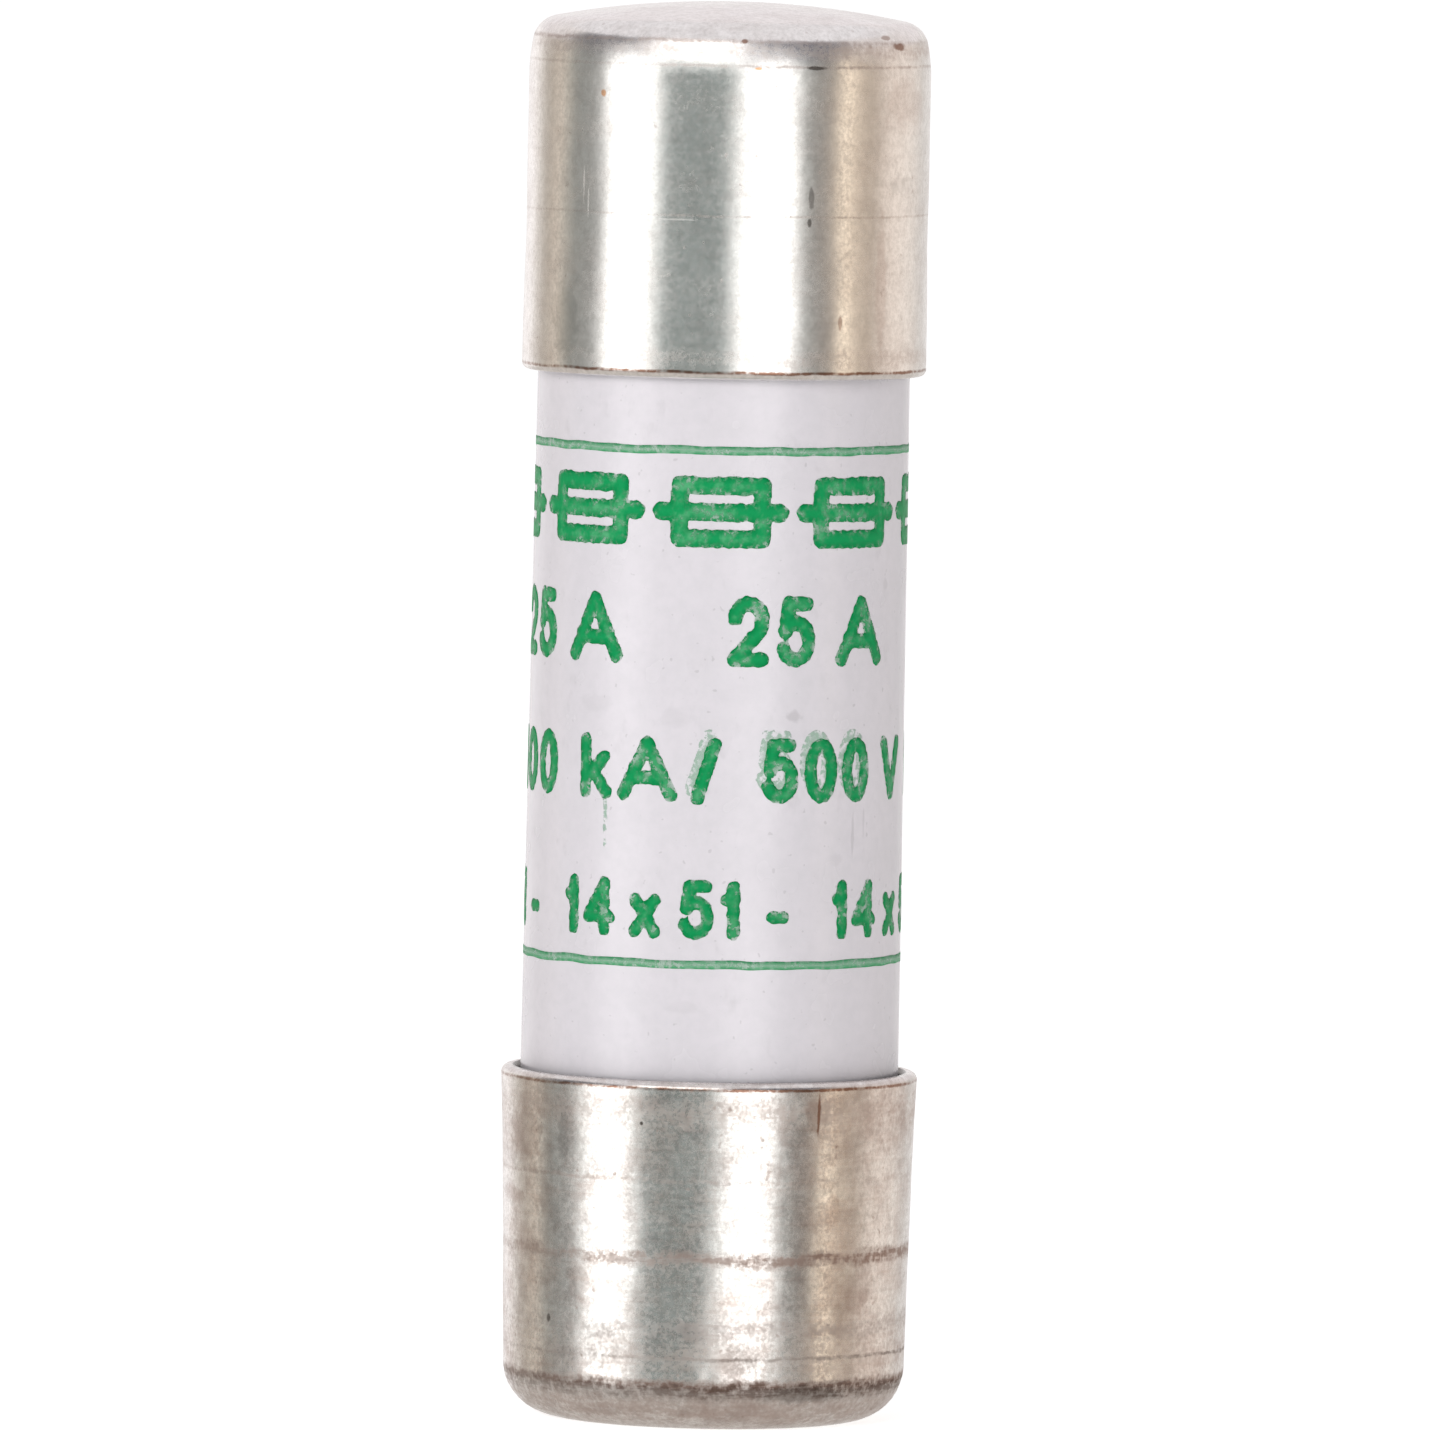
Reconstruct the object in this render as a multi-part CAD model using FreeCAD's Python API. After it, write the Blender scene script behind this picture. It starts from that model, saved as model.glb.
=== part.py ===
"""A cylindrical cartridge fuse, 14 x 51 size, with motor characteristic, all lengths in millimetres.

The fuse stands on its lower end with its axis on +Z and the origin at the middle of that end.
From the outside in, it is a ceramic tube with a drawn inner cap pressed on each reduced end and a
plated outer cap pressed over that. Three notched strips run through the quartz sand in the bore.
Their tails come out through slots in the inner caps, fold flat and are soldered to the outer caps.
"""
import FreeCAD, Part
import math
import os

V = FreeCAD.Vector
AXIS = V(0, 0, 1)
CENTRE = V(0, 0, 0)

# Whole fuse
LENGTH = 50.3
CAP_RADIUS = 14.25 / 2          # where the holder's clips grip
TUBE_RADIUS = 13.2 / 2
BORE_RADIUS = 9.8 / 2

# Outer caps, drawn from sheet
OUTER_WALL = 0.45
CONTACT_LENGTH = 7.0            # true cylinder, from the corner towards the rim
LIP_RADIUS = 0.36               # rolled-in edge of the open rim
LOWER_CAP_LENGTH = 12.4
LOWER_CORNER = 1.9
LOWER_FLARE = 0.2               # the rim stands this much outside the contact cylinder
UPPER_CAP_LENGTH = 13.15
UPPER_CORNER = 1.0
UPPER_FLARE = 0.05
UPPER_DOME = 0.6                # rise of the upper end above the crease round it

# Inner caps, pressed into the outer ones
INNER_WALL = 0.35
INNER_CORNER = 1.0
INNER_CAP_LENGTH = 6.5
SHOULDER_GAP = 0.2              # from an inner cap's rim to the shoulder of the tube

# Layers between an outer cap and the tube
SOLDER_LAYER = 0.5
SOLDER_RADIUS = 5.2
WASHER_THICKNESS = 0.5
WASHER_CLEARANCE = 0.03

# Fuse elements
ELEMENT_COUNT = 3
ELEMENT_RADIUS = 3.0            # from the axis to the middle of the strip
STRIP_THICKNESS = 0.15
STRIP_WIDTH = 3.0
BEND_RADIUS = 0.15              # inside of the fold at each tail
TAIL_END = 4.9                  # distance of a tail's tip from the axis
NOTCH_ROWS = 5
NOTCH_PITCH = 6.4
NOTCH_RADIUS = 0.5
NOTCH_HOLES = (-0.75, 0.75)     # across the strip, between the two edge notches

# Openings for the elements and the sand
SLOT_INSIDE = 0.2               # slot edge inward of the strip's middle
SLOT_OUTSIDE = 0.4              # slot edge outward of it, which leaves room for the fold
SLOT_WIDTH = STRIP_WIDTH + 0.3
FILL_RADIUS = 1.0
PLUG_HEAD_RADIUS = 1.6
PLUG_HEAD = 0.25

# Ceramic
TUBE_CHAMFER = 0.3

# Levels that follow, counted from either end of the fuse
CREASE = LENGTH - UPPER_DOME                        # edge of the upper end face
SEAT = OUTER_WALL + SOLDER_LAYER                    # outer face of an inner cap
TUBE_END = SEAT + INNER_WALL + WASHER_THICKNESS     # end face of the tube
INNER_CAP_RADIUS = CAP_RADIUS - OUTER_WALL
SPIGOT_RADIUS = INNER_CAP_RADIUS - INNER_WALL       # reduced end of the tube
SHOULDER = SEAT + INNER_CAP_LENGTH + SHOULDER_GAP


def at(radius, height):
    """A point of a turned profile."""
    return V(radius, 0, height)


def arc(start, centre, end):
    """The short arc from start to end about centre."""
    radius = (start - centre).Length
    middle = centre + ((start - centre) + (end - centre)).normalize() * radius
    return Part.Arc(start, middle, end)


def crown(edge_radius, edge_height, rise):
    """A shallow dome's arc from its edge up to the axis."""
    ball = (edge_radius ** 2 + rise ** 2) / (2 * rise)
    half = math.asin(edge_radius / ball) / 2
    top = edge_height + rise
    middle = at(ball * math.sin(half), top - ball * (1 - math.cos(half)))
    return Part.Arc(at(edge_radius, edge_height), middle, at(0, top))


def closed_wire(pieces):
    """Join points and arcs, in order, with straight edges where they don't meet."""
    edges = []
    ends = [(p, p) if isinstance(p, FreeCAD.Vector) else (p.StartPoint, p.EndPoint) for p in pieces]
    for index, piece in enumerate(pieces):
        if not isinstance(piece, FreeCAD.Vector):
            edges.append(piece.toShape())
        here = ends[index][1]
        there = ends[(index + 1) % len(pieces)][0]
        if (here - there).Length > 1e-6:
            edges.append(Part.LineSegment(here, there).toShape())
    return Part.Wire(edges)


def turned(pieces):
    """A solid of revolution about the fuse's axis."""
    return Part.Face(closed_wire(pieces)).revolve(CENTRE, AXIS, 360)


def disc(radius, low, high):
    return Part.makeCylinder(radius, high - low, V(0, 0, low))


def around(shape):
    """One copy of a shape for each element, evenly round the axis."""
    step = 360 / ELEMENT_COUNT
    copies = []
    for index in range(ELEMENT_COUNT):
        copy = shape.copy()
        copy.rotate(CENTRE, AXIS, index * step)
        copies.append(copy)
    return copies


def upside_down(shape):
    """The same piece at the other end of the fuse, below the crease."""
    turned_over = shape.copy()
    turned_over.rotate(CENTRE, V(1, 0, 0), 180)
    turned_over.translate(V(0, 0, CREASE))
    return turned_over.mirror(CENTRE, V(0, 1, 0))


def cap_skirt(length, corner, flare):
    """The cap's wall as profile pieces, from the end face's edge round the rim to the floor."""
    skirt_start = corner + CONTACT_LENGTH
    inner_corner = corner - OUTER_WALL
    rim_radius = CAP_RADIUS + flare
    inside = CAP_RADIUS - OUTER_WALL
    lip_centre = at(rim_radius - LIP_RADIUS, length - LIP_RADIUS)
    corner_centre = at(CAP_RADIUS - corner, corner)
    return [
        arc(at(CAP_RADIUS - corner, 0), corner_centre, at(CAP_RADIUS, corner)),
        at(CAP_RADIUS, skirt_start),
        arc(at(rim_radius, length - LIP_RADIUS), lip_centre,
            at(rim_radius - LIP_RADIUS, length)),
        at(rim_radius - OUTER_WALL, length),
        at(inside, skirt_start),
        arc(at(inside, corner), corner_centre, at(inside - inner_corner, OUTER_WALL)),
    ]


def outer_cap_bottom():
    skirt = cap_skirt(LOWER_CAP_LENGTH, LOWER_CORNER, LOWER_FLARE)
    return turned([at(0, 0)] + skirt + [at(0, OUTER_WALL)])


def outer_cap_top():
    skirt = cap_skirt(UPPER_CAP_LENGTH - UPPER_DOME, UPPER_CORNER, UPPER_FLARE)
    edge = CAP_RADIUS - UPPER_CORNER
    flat_cap = turned([at(0, 0)] + skirt + [at(0, OUTER_WALL)])
    bulge = [crown(edge, 0, UPPER_DOME), at(0, 0)]
    bulge_inside = [crown(edge, -OUTER_WALL, UPPER_DOME), at(0, -OUTER_WALL)]
    over = turned(bulge).translate(V(0, 0, CREASE))
    under = turned(bulge_inside).translate(V(0, 0, CREASE))
    return upside_down(flat_cap).fuse(over).cut(under).removeSplitter()


def element_slots(low, high):
    """The slots that the strips pass through, cut from one level to another."""
    span = SLOT_INSIDE + SLOT_OUTSIDE
    corner = V(ELEMENT_RADIUS - SLOT_INSIDE, -SLOT_WIDTH / 2, low)
    return around(Part.makeBox(span, SLOT_WIDTH, high - low, corner))


def inner_cap():
    """The lower inner cap, with its slots."""
    inside = INNER_CAP_RADIUS - INNER_WALL
    corner_centre = at(INNER_CAP_RADIUS - INNER_CORNER, SEAT + INNER_CORNER)
    floor = SEAT + INNER_WALL
    cup = turned([
        at(0, SEAT),
        arc(at(corner_centre.x, SEAT), corner_centre, at(INNER_CAP_RADIUS, corner_centre.z)),
        at(INNER_CAP_RADIUS, SEAT + INNER_CAP_LENGTH),
        at(inside, SEAT + INNER_CAP_LENGTH),
        arc(at(inside, corner_centre.z), corner_centre, at(corner_centre.x, floor)),
        at(0, floor),
    ])
    return cup.cut(element_slots(SEAT, floor))


def filling_hole():
    return disc(FILL_RADIUS, CREASE - TUBE_END, CREASE - SEAT)


def sealing_washer():
    """The lower fibre washer, which keeps the sand in."""
    low = SEAT + INNER_WALL
    blank = disc(INNER_CAP_RADIUS - INNER_CORNER - WASHER_CLEARANCE, low, low + WASHER_THICKNESS)
    return blank.cut(element_slots(low, low + WASHER_THICKNESS))


def ceramic_tube():
    """The tube, with a reduced spigot at each end and a small chamfer on its edges."""
    chamfer = TUBE_CHAMFER
    lower = [
        at(BORE_RADIUS, TUBE_END + chamfer),
        at(BORE_RADIUS + chamfer, TUBE_END),
        at(SPIGOT_RADIUS - chamfer, TUBE_END),
        at(SPIGOT_RADIUS, TUBE_END + chamfer),
        at(SPIGOT_RADIUS, SHOULDER),
        at(TUBE_RADIUS, SHOULDER),
    ]
    upper = [at(point.x, CREASE - point.z) for point in reversed(lower)]
    return turned(lower + upper)


def fold(foot_level, side):
    """One tail's fold: its inner and outer arcs, with side +1 for the lower tail, -1 for the upper."""
    centre = V(ELEMENT_RADIUS + STRIP_THICKNESS / 2 + BEND_RADIUS, 0, foot_level + side * BEND_RADIUS)
    outside = BEND_RADIUS + STRIP_THICKNESS
    inner = arc(centre - V(BEND_RADIUS, 0, 0), centre, centre - V(0, 0, side * BEND_RADIUS))
    outer = arc(centre - V(0, 0, side * outside), centre, centre - V(outside, 0, 0))
    return inner, outer


def fuse_element():
    """One strip on +X: folded tails, and rows of notches and holes that melt first."""
    low_inner, low_outer = fold(SEAT, 1)
    top_inner, top_outer = fold(CREASE - SEAT, -1)
    top_outer.reverse()
    top_inner.reverse()
    outline = closed_wire([
        low_inner,
        V(TAIL_END, 0, SEAT),
        V(TAIL_END, 0, SEAT - STRIP_THICKNESS),
        low_outer,
        top_outer,
        V(TAIL_END, 0, CREASE - SEAT + STRIP_THICKNESS),
        V(TAIL_END, 0, CREASE - SEAT),
        top_inner,
    ])
    strip = Part.Face(outline).extrude(V(0, STRIP_WIDTH, 0)).translate(V(0, -STRIP_WIDTH / 2, 0))
    punches = []
    for row in range(NOTCH_ROWS):
        level = CREASE / 2 + (row - (NOTCH_ROWS - 1) / 2) * NOTCH_PITCH
        for across in (-STRIP_WIDTH / 2,) + NOTCH_HOLES + (STRIP_WIDTH / 2,):
            start = V(ELEMENT_RADIUS - STRIP_THICKNESS, across, level)
            punches.append(Part.makeCylinder(NOTCH_RADIUS, 2 * STRIP_THICKNESS, start, V(1, 0, 0)))
    return strip.cut(punches)


def filler_plug():
    """The plug that closes the filling hole in the upper inner cap."""
    shank = disc(FILL_RADIUS, CREASE - TUBE_END, CREASE - SEAT)
    head = disc(PLUG_HEAD_RADIUS, CREASE - SEAT, CREASE - SEAT + PLUG_HEAD)
    return shank.fuse(head).removeSplitter()


def solder_bottom(elements):
    return disc(SOLDER_RADIUS, OUTER_WALL, SEAT).cut(elements)


def solder_top(elements, plug):
    """The upper solder, which fills the dome of the cap as far as its own radius."""
    edge = CAP_RADIUS - UPPER_CORNER
    dome = turned([crown(edge, 0, UPPER_DOME), at(0, 0)]).translate(V(0, 0, CREASE - OUTER_WALL))
    pool = disc(edge, CREASE - SEAT, CREASE - OUTER_WALL).fuse(dome)
    trimmed = pool.common(disc(SOLDER_RADIUS, CREASE - SEAT, LENGTH))
    return trimmed.cut(elements + [plug]).removeSplitter()


def assembly():
    elements = around(fuse_element())
    plug = filler_plug()
    lower_inner_cap = inner_cap()
    lower_washer = sealing_washer()
    sand = disc(BORE_RADIUS, TUBE_END, CREASE - TUBE_END).cut(elements)
    parts = {
        "ceramic_tube": ceramic_tube(),
        "outer_cap_top": outer_cap_top(),
        "outer_cap_bottom": outer_cap_bottom(),
        "inner_cap_top": upside_down(lower_inner_cap).cut(filling_hole()),
        "inner_cap_bottom": lower_inner_cap,
        "sealing_washer_top": upside_down(lower_washer).cut(filling_hole()),
        "sealing_washer_bottom": lower_washer,
        "filler_plug": plug,
        "solder_joint_top": solder_top(elements, plug),
        "solder_joint_bottom": solder_bottom(elements),
        "quartz_sand": sand,
    }
    for number, element in enumerate(elements, 1):
        parts["fuse_element_%d" % number] = element
    return parts


os.makedirs("parts", exist_ok=True)
for name, shape in assembly().items():
    shape.exportStep("parts/%s.step" % name)
    facts = (name, len(shape.Solids), shape.isValid(), shape.Volume)
    print("%-22s solids %d  valid %s  volume %.1f" % facts)
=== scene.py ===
"""The looks of a 14 x 51 cartridge fuse: plated caps, fired ceramic body, green ink print."""
import math

import bmesh
import bpy
from mathutils import Matrix, Vector, geometry, noise


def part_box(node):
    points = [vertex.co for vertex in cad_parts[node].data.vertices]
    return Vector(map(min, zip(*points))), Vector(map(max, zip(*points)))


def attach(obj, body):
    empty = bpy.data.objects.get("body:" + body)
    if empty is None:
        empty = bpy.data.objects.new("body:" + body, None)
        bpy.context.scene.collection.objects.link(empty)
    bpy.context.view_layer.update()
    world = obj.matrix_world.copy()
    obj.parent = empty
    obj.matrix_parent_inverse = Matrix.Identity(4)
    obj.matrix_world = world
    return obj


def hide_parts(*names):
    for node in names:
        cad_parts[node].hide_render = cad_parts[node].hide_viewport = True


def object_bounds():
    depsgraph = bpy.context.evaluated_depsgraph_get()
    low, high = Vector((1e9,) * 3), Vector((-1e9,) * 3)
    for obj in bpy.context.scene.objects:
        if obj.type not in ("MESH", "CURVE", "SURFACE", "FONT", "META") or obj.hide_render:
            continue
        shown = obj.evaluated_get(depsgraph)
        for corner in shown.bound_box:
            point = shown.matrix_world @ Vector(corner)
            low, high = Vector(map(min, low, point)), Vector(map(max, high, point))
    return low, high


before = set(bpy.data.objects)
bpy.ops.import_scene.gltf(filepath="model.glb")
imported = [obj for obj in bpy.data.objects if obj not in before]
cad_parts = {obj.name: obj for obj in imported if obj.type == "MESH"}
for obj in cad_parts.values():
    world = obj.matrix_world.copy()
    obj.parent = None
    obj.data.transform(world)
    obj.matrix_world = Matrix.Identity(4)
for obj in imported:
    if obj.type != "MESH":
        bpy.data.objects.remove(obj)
CAD_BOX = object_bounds()

MM = 0.001
PER_METRE = 1000.0              # millimetres
TURN = 2 * math.pi

# Sizes of the turned pieces, in millimetres, as in the design
TUBE_RADIUS = 6.6
SPIGOT_RADIUS = 6.325
BORE_RADIUS = 4.9
SHOULDER_DEPTH = 5.85           # from the tube's end face to its full diameter
TUBE_CHAMFER = 0.3
CAP_RADIUS = 7.125
CAP_WALL = 0.45
CONTACT_LENGTH = 7.0
LIP_ROUND = 0.25
LOWER_CORNER = 1.9
UPPER_CORNER = 1.0              # of the inside, less the wall; the outside is worn to other curves
UPPER_SWEEP = 7.5               # the worn outside starts with a long curve
SWEEP_TILTS = (2, 10.5)         # from and to so many degrees
TIGHT_CORNER = 1.0              # then it turns the rest of the way on this radius
DOME_SLOPE = 11                 # degrees, at the dome's edge
DOME_RISE = 0.6
DOME_RINGS = 10
SHOULDER_ROUND = 0.15
SHOULDER_SEGMENTS = 3
PAST_SPIGOT = 1.01              # a point this many times the spigot's radius out is on the body
LOWER_SPREAD = (0.14, 0.07)     # what wear adds to the lower cap's radius, halfway up and at its rim
TUBE_SPREAD = 0.12              # the pressed tube's radius is so much larger near its foot
SPREAD_ENDS = (9, 12, 37)       # heights where that starts, is full and has gone

# Unevenness of the drawn caps: how far in or out, its wavelength, and a number that picks the pattern
UPPER_WAVES = (0.03, 3.0, 21)
LOWER_WAVES = (0.03, 3.0, 3)
LOWER_RIPPLES = (0.03, 0.4, 8)
UPPER_EVEN = 0.3                # the upper cap's waves end this far below its crease
LOWER_EVEN = 1.0                # the lower cap's waves start this far up from its end
RIPPLED = (0.7, 2.4)            # its ripples run from and to so far up from its end

# Fineness of the meshes
SPIN_STEPS = 192
CORNER_SEGMENTS = 10
LIP_SEGMENTS = 6
RING_SPACING = 0.3

# The ink film, in millimetres
INK_LIFT = 0.012
INK_SUNK = 0.01                 # how far the ink's underside goes into the ceramic
INK_CELL = 0.09                 # spacing of the mesh lines across the characters
INK_RAGGED = 0.05               # wander of the ink's edge
RAGGED_SIZE = 0.2
EDGE_DARKENING = 0.26           # width of the darker border of a stroke
DOUBLE_STRIKE = (-1.7, 0.3)    # degrees round and millimetres up to a faint second strike
INK_RUN = (-35.5, 22.3)         # degrees round and height of the start of a run of ink
INK_RUN_END = (0.05, -1.7)      # where the run stops, from its start
INK_RUN_PEN = 0.14
INK_RUN_RAGGED = 0.06
BOW_STEP = 15                   # degrees between points of a rounded stroke
LETTER_GAP = 0.10               # between characters, as a share of their height

# Rows of the print: (height of its foot, character height, pen width, times round the tube,
# words as (characters, azimuth of their middle, whether they are struck twice))
PRINT_ROWS = {
    "fuse_symbol_print": (31.22, 2.5, 0.64, 8, [("fuse", 0, False)]),
    "rated_current_print": (27.04, 2.5, 0.53, 4, [("25", 16.8, False), ("A", 49.1, False)]),
    "rated_voltage_print": (22.23, 2.3, 0.49, 2, [
        ("100", -74, False), ("kA", -28.5, False), ("/", -2.9, True), ("500", 34, True), ("V", 68, False)]),
    "size_print": (17.40, 2.1, 0.45, 4, [
        ("14", -41, False), ("x", -21, False), ("51", -1, False), ("-", 20, False)]),
}
RING_LINES = {"lower_ring_line": 16.52, "upper_ring_line": 34.63}
RING_LINE_WIDTH = 0.3
RING_LINE_SWAY = 0.05           # up and down
RING_LINE_WAVE = 0.9            # wavelength of that


def box_mm(node):
    """The lowest and highest corners of a CAD node, in millimetres."""
    low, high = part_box(node)
    return low / MM, high / MM


# ---------------------------------------------------------------- turned pieces

def arc(centre, radius, start, end, segments):
    """Points of a round stretch of an outline, angles in degrees from straight outwards."""
    points = []
    for index in range(segments + 1):
        angle = math.radians(start + (end - start) * index / segments)
        points.append((centre[0] + radius * math.cos(angle), centre[1] + radius * math.sin(angle)))
    return points


def dome(edge_radius, edge_height, rise):
    """Points of a shallow dome, from its edge to the axis."""
    ball = (edge_radius ** 2 + rise ** 2) / (2 * rise)
    reach = math.degrees(math.asin(edge_radius / ball))
    points = arc((0, edge_height + rise - ball), ball, 90 - reach, 90, DOME_RINGS)
    return points[:-1] + [(0, edge_height + rise)]


def spun(outline):
    """A closed outline of (radius, height) points in millimetres, turned about the fuse's axis."""
    mesh = bmesh.new()
    verts = [mesh.verts.new((radius * MM, 0, height * MM)) for radius, height in outline]
    edges = [mesh.edges.new((vert, verts[(index + 1) % len(verts)])) for index, vert in enumerate(verts)]
    for edge in edges:
        cuts = int(edge.calc_length() / (RING_SPACING * MM))
        if cuts:
            bmesh.ops.subdivide_edges(mesh, edges=[edge], cuts=cuts)
    bmesh.ops.spin(mesh, geom=mesh.verts[:] + mesh.edges[:], cent=(0, 0, 0), axis=(0, 0, 1),
                   angle=TURN, steps=SPIN_STEPS, use_merge=True)
    bmesh.ops.remove_doubles(mesh, verts=mesh.verts[:], dist=0.001 * MM)
    bmesh.ops.recalc_face_normals(mesh, faces=mesh.faces[:])
    return mesh


def finished(name, mesh, material, replaces=None):
    """Turn a bmesh into a smooth piece that rides on the fuse."""
    data = bpy.data.meshes.new(name)
    mesh.to_mesh(data)
    mesh.free()
    data.materials.append(material)
    data.shade_smooth()
    piece = bpy.data.objects.new(name, data)
    bpy.context.scene.collection.objects.link(piece)
    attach(piece, "root")
    if replaces:
        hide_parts(replaces)
    return piece


def wander(mesh, low, high, size, wavelength, pattern):
    """Push the points between two heights in or out, by a smooth uneven amount."""
    for vert in mesh.verts:
        height = vert.co.z / MM
        if low < height < high:
            fade = min(1, (height - low) / wavelength, (high - height) / wavelength)
            outward = Vector((vert.co.x, vert.co.y, 0))
            if outward.length > MM:
                push = noise.noise(vert.co / (wavelength * MM) + Vector((pattern, 0, 0)))
                vert.co += outward.normalized() * push * size * MM * fade


def lower_cap(material):
    low, high = box_mm("outer_cap_bottom")
    halfway, rim = CAP_RADIUS + LOWER_SPREAD[0], high.x + LOWER_SPREAD[1]
    corner = (CAP_RADIUS - LOWER_CORNER, low.z + LOWER_CORNER)
    skirt = low.z + LOWER_CORNER + CONTACT_LENGTH
    mesh = spun([
        (0, low.z),
        *arc(corner, LOWER_CORNER, -90, 0, CORNER_SEGMENTS),
        (halfway, skirt),
        *arc((rim - LIP_ROUND, high.z - LIP_ROUND), LIP_ROUND, 0, 90, LIP_SEGMENTS),
        (rim - CAP_WALL, high.z),
        (halfway - CAP_WALL, skirt),
        *arc(corner, LOWER_CORNER - CAP_WALL, 0, -90, CORNER_SEGMENTS),
        (0, low.z + CAP_WALL)])
    wander(mesh, low.z + LOWER_EVEN, high.z, *LOWER_WAVES)
    wander(mesh, low.z + RIPPLED[0], low.z + RIPPLED[1], *LOWER_RIPPLES)
    return finished("lower_cap_shell", mesh, material, "outer_cap_bottom")


def worn_top(top):
    """Outline of the upper cap's outside: long curve, tight corner and dome, up to the axis."""
    first, tilt, steep = (math.radians(angle) for angle in (*SWEEP_TILTS, 90 - DOME_SLOPE))
    neck = CAP_RADIUS - UPPER_SWEEP * (math.cos(first) - math.cos(tilt))
    edge = neck - TIGHT_CORNER * (math.cos(tilt) - math.cos(steep))
    ball = edge / math.cos(steep)
    corner_height = top - ball * (1 - math.sin(steep)) - TIGHT_CORNER * math.sin(steep)
    sweep_height = corner_height + (TIGHT_CORNER - UPPER_SWEEP) * math.sin(tilt)
    return [
        *arc((CAP_RADIUS - UPPER_SWEEP * math.cos(first), sweep_height), UPPER_SWEEP,
             *SWEEP_TILTS, CORNER_SEGMENTS)[:-1],
        *arc((neck - TIGHT_CORNER * math.cos(tilt), corner_height), TIGHT_CORNER,
             SWEEP_TILTS[1], 90 - DOME_SLOPE, CORNER_SEGMENTS)[:-1],
        *arc((0, top - ball), ball, 90 - DOME_SLOPE, 90, DOME_RINGS)[:-1],
        (0, top)]


def upper_cap(material):
    low, high = box_mm("outer_cap_top")
    rim = high.x
    crease = high.z - DOME_RISE
    edge = CAP_RADIUS - UPPER_CORNER
    corner = (edge, crease - UPPER_CORNER)
    inside = CAP_RADIUS - CAP_WALL
    skirt = crease - UPPER_CORNER - CONTACT_LENGTH
    mesh = spun([
        *worn_top(high.z),
        *reversed(dome(edge, crease - CAP_WALL, DOME_RISE)[1:]),
        *arc(corner, UPPER_CORNER - CAP_WALL, 90, 0, CORNER_SEGMENTS),
        (inside, skirt),
        (rim - CAP_WALL, low.z),
        *arc((rim - LIP_ROUND, low.z + LIP_ROUND), LIP_ROUND, -90, 0, LIP_SEGMENTS),
        (CAP_RADIUS, skirt)])
    wander(mesh, low.z, crease - UPPER_EVEN, *UPPER_WAVES)
    return finished("upper_cap_shell", mesh, material, "outer_cap_top")


def spread(height):
    """What the tube's uneven pressing adds to its radius at a height."""
    start, full, end = SPREAD_ENDS
    return TUBE_SPREAD * max(0, min((height - start) / (full - start), (end - height) / (end - full)))


def ceramic_body(material):
    low, high = box_mm("ceramic_tube")
    half_outline = [
        (BORE_RADIUS, TUBE_CHAMFER),
        (BORE_RADIUS + TUBE_CHAMFER, 0),
        (SPIGOT_RADIUS - TUBE_CHAMFER, 0),
        (SPIGOT_RADIUS, TUBE_CHAMFER),
        (SPIGOT_RADIUS, SHOULDER_DEPTH),
        *arc((TUBE_RADIUS - SHOULDER_ROUND, SHOULDER_DEPTH + SHOULDER_ROUND), SHOULDER_ROUND,
             -90, 0, SHOULDER_SEGMENTS)]
    lower_half = [(radius, low.z + depth) for radius, depth in half_outline]
    upper_half = [(radius, high.z - depth) for radius, depth in reversed(half_outline)]
    mesh = spun(lower_half + upper_half)
    for vert in mesh.verts:
        radius = vert.co.xy.length
        if radius > SPIGOT_RADIUS * MM * PAST_SPIGOT:
            vert.co.xy *= 1 + spread(vert.co.z / MM) * MM / radius
    return finished("ceramic_body", mesh, material, "ceramic_tube")


# ---------------------------------------------------------------- print

def bow(centre, reach, start, end):
    """Points of a rounded pen stroke: an elliptical arc, angles in degrees."""
    count = max(2, round(abs(end - start) / BOW_STEP))
    points = []
    for index in range(count + 1):
        angle = math.radians(start + (end - start) * index / count)
        points.append((centre[0] + reach[0] * math.cos(angle), centre[1] + reach[1] * math.sin(angle)))
    return points


# Characters as (width, pen strokes), drawn in a box one unit wide and as high as a capital
CHARACTERS = {
    "0": (0.60, [bow((0.5, 0.5), (0.5, 0.5), 0, 360)]),
    "1": (0.34, [[(0, 0.72), (0.5, 0.80), (0.9, 1), (0.9, 0)]]),
    "2": (0.60, [bow((0.5, 0.69), (0.5, 0.31), 170, -38) + [(0, 0), (1, 0)]]),
    "4": (0.66, [[(0.76, 0), (0.76, 1), (0, 0.27), (1, 0.27)]]),
    "5": (0.60, [[(0.9, 1), (0.2, 1), (0.08, 0.5)] + bow((0.48, 0.33), (0.52, 0.33), 130, -155)]),
    "A": (0.98, [[(0, 0), (0.5, 1), (1, 0)], [(0.17, 0.32), (0.83, 0.32)]]),
    "k": (0.62, [[(0, 0), (0, 1)], [(0.9, 0.68), (0, 0.24)], [(0.38, 0.42), (1, 0)]]),
    "V": (0.74, [[(0, 1), (0.5, 0), (1, 1)]]),
    "x": (0.56, [[(0, 0), (1, 0.68)], [(0, 0.68), (1, 0)]]),
    "/": (0.46, [[(0, -0.04), (1, 1)]]),
    "-": (0.40, [[(0, 0.36), (1, 0.36)]]),
    # the general drawing symbol of a fuse: a long box with a line through it
    "fuse": (1.72, [[(0.1, 0), (0.9, 0), (0.9, 1), (0.1, 1), (0.1, 0)], [(-0.08, 0.5), (1.08, 0.5)]]),
}


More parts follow.
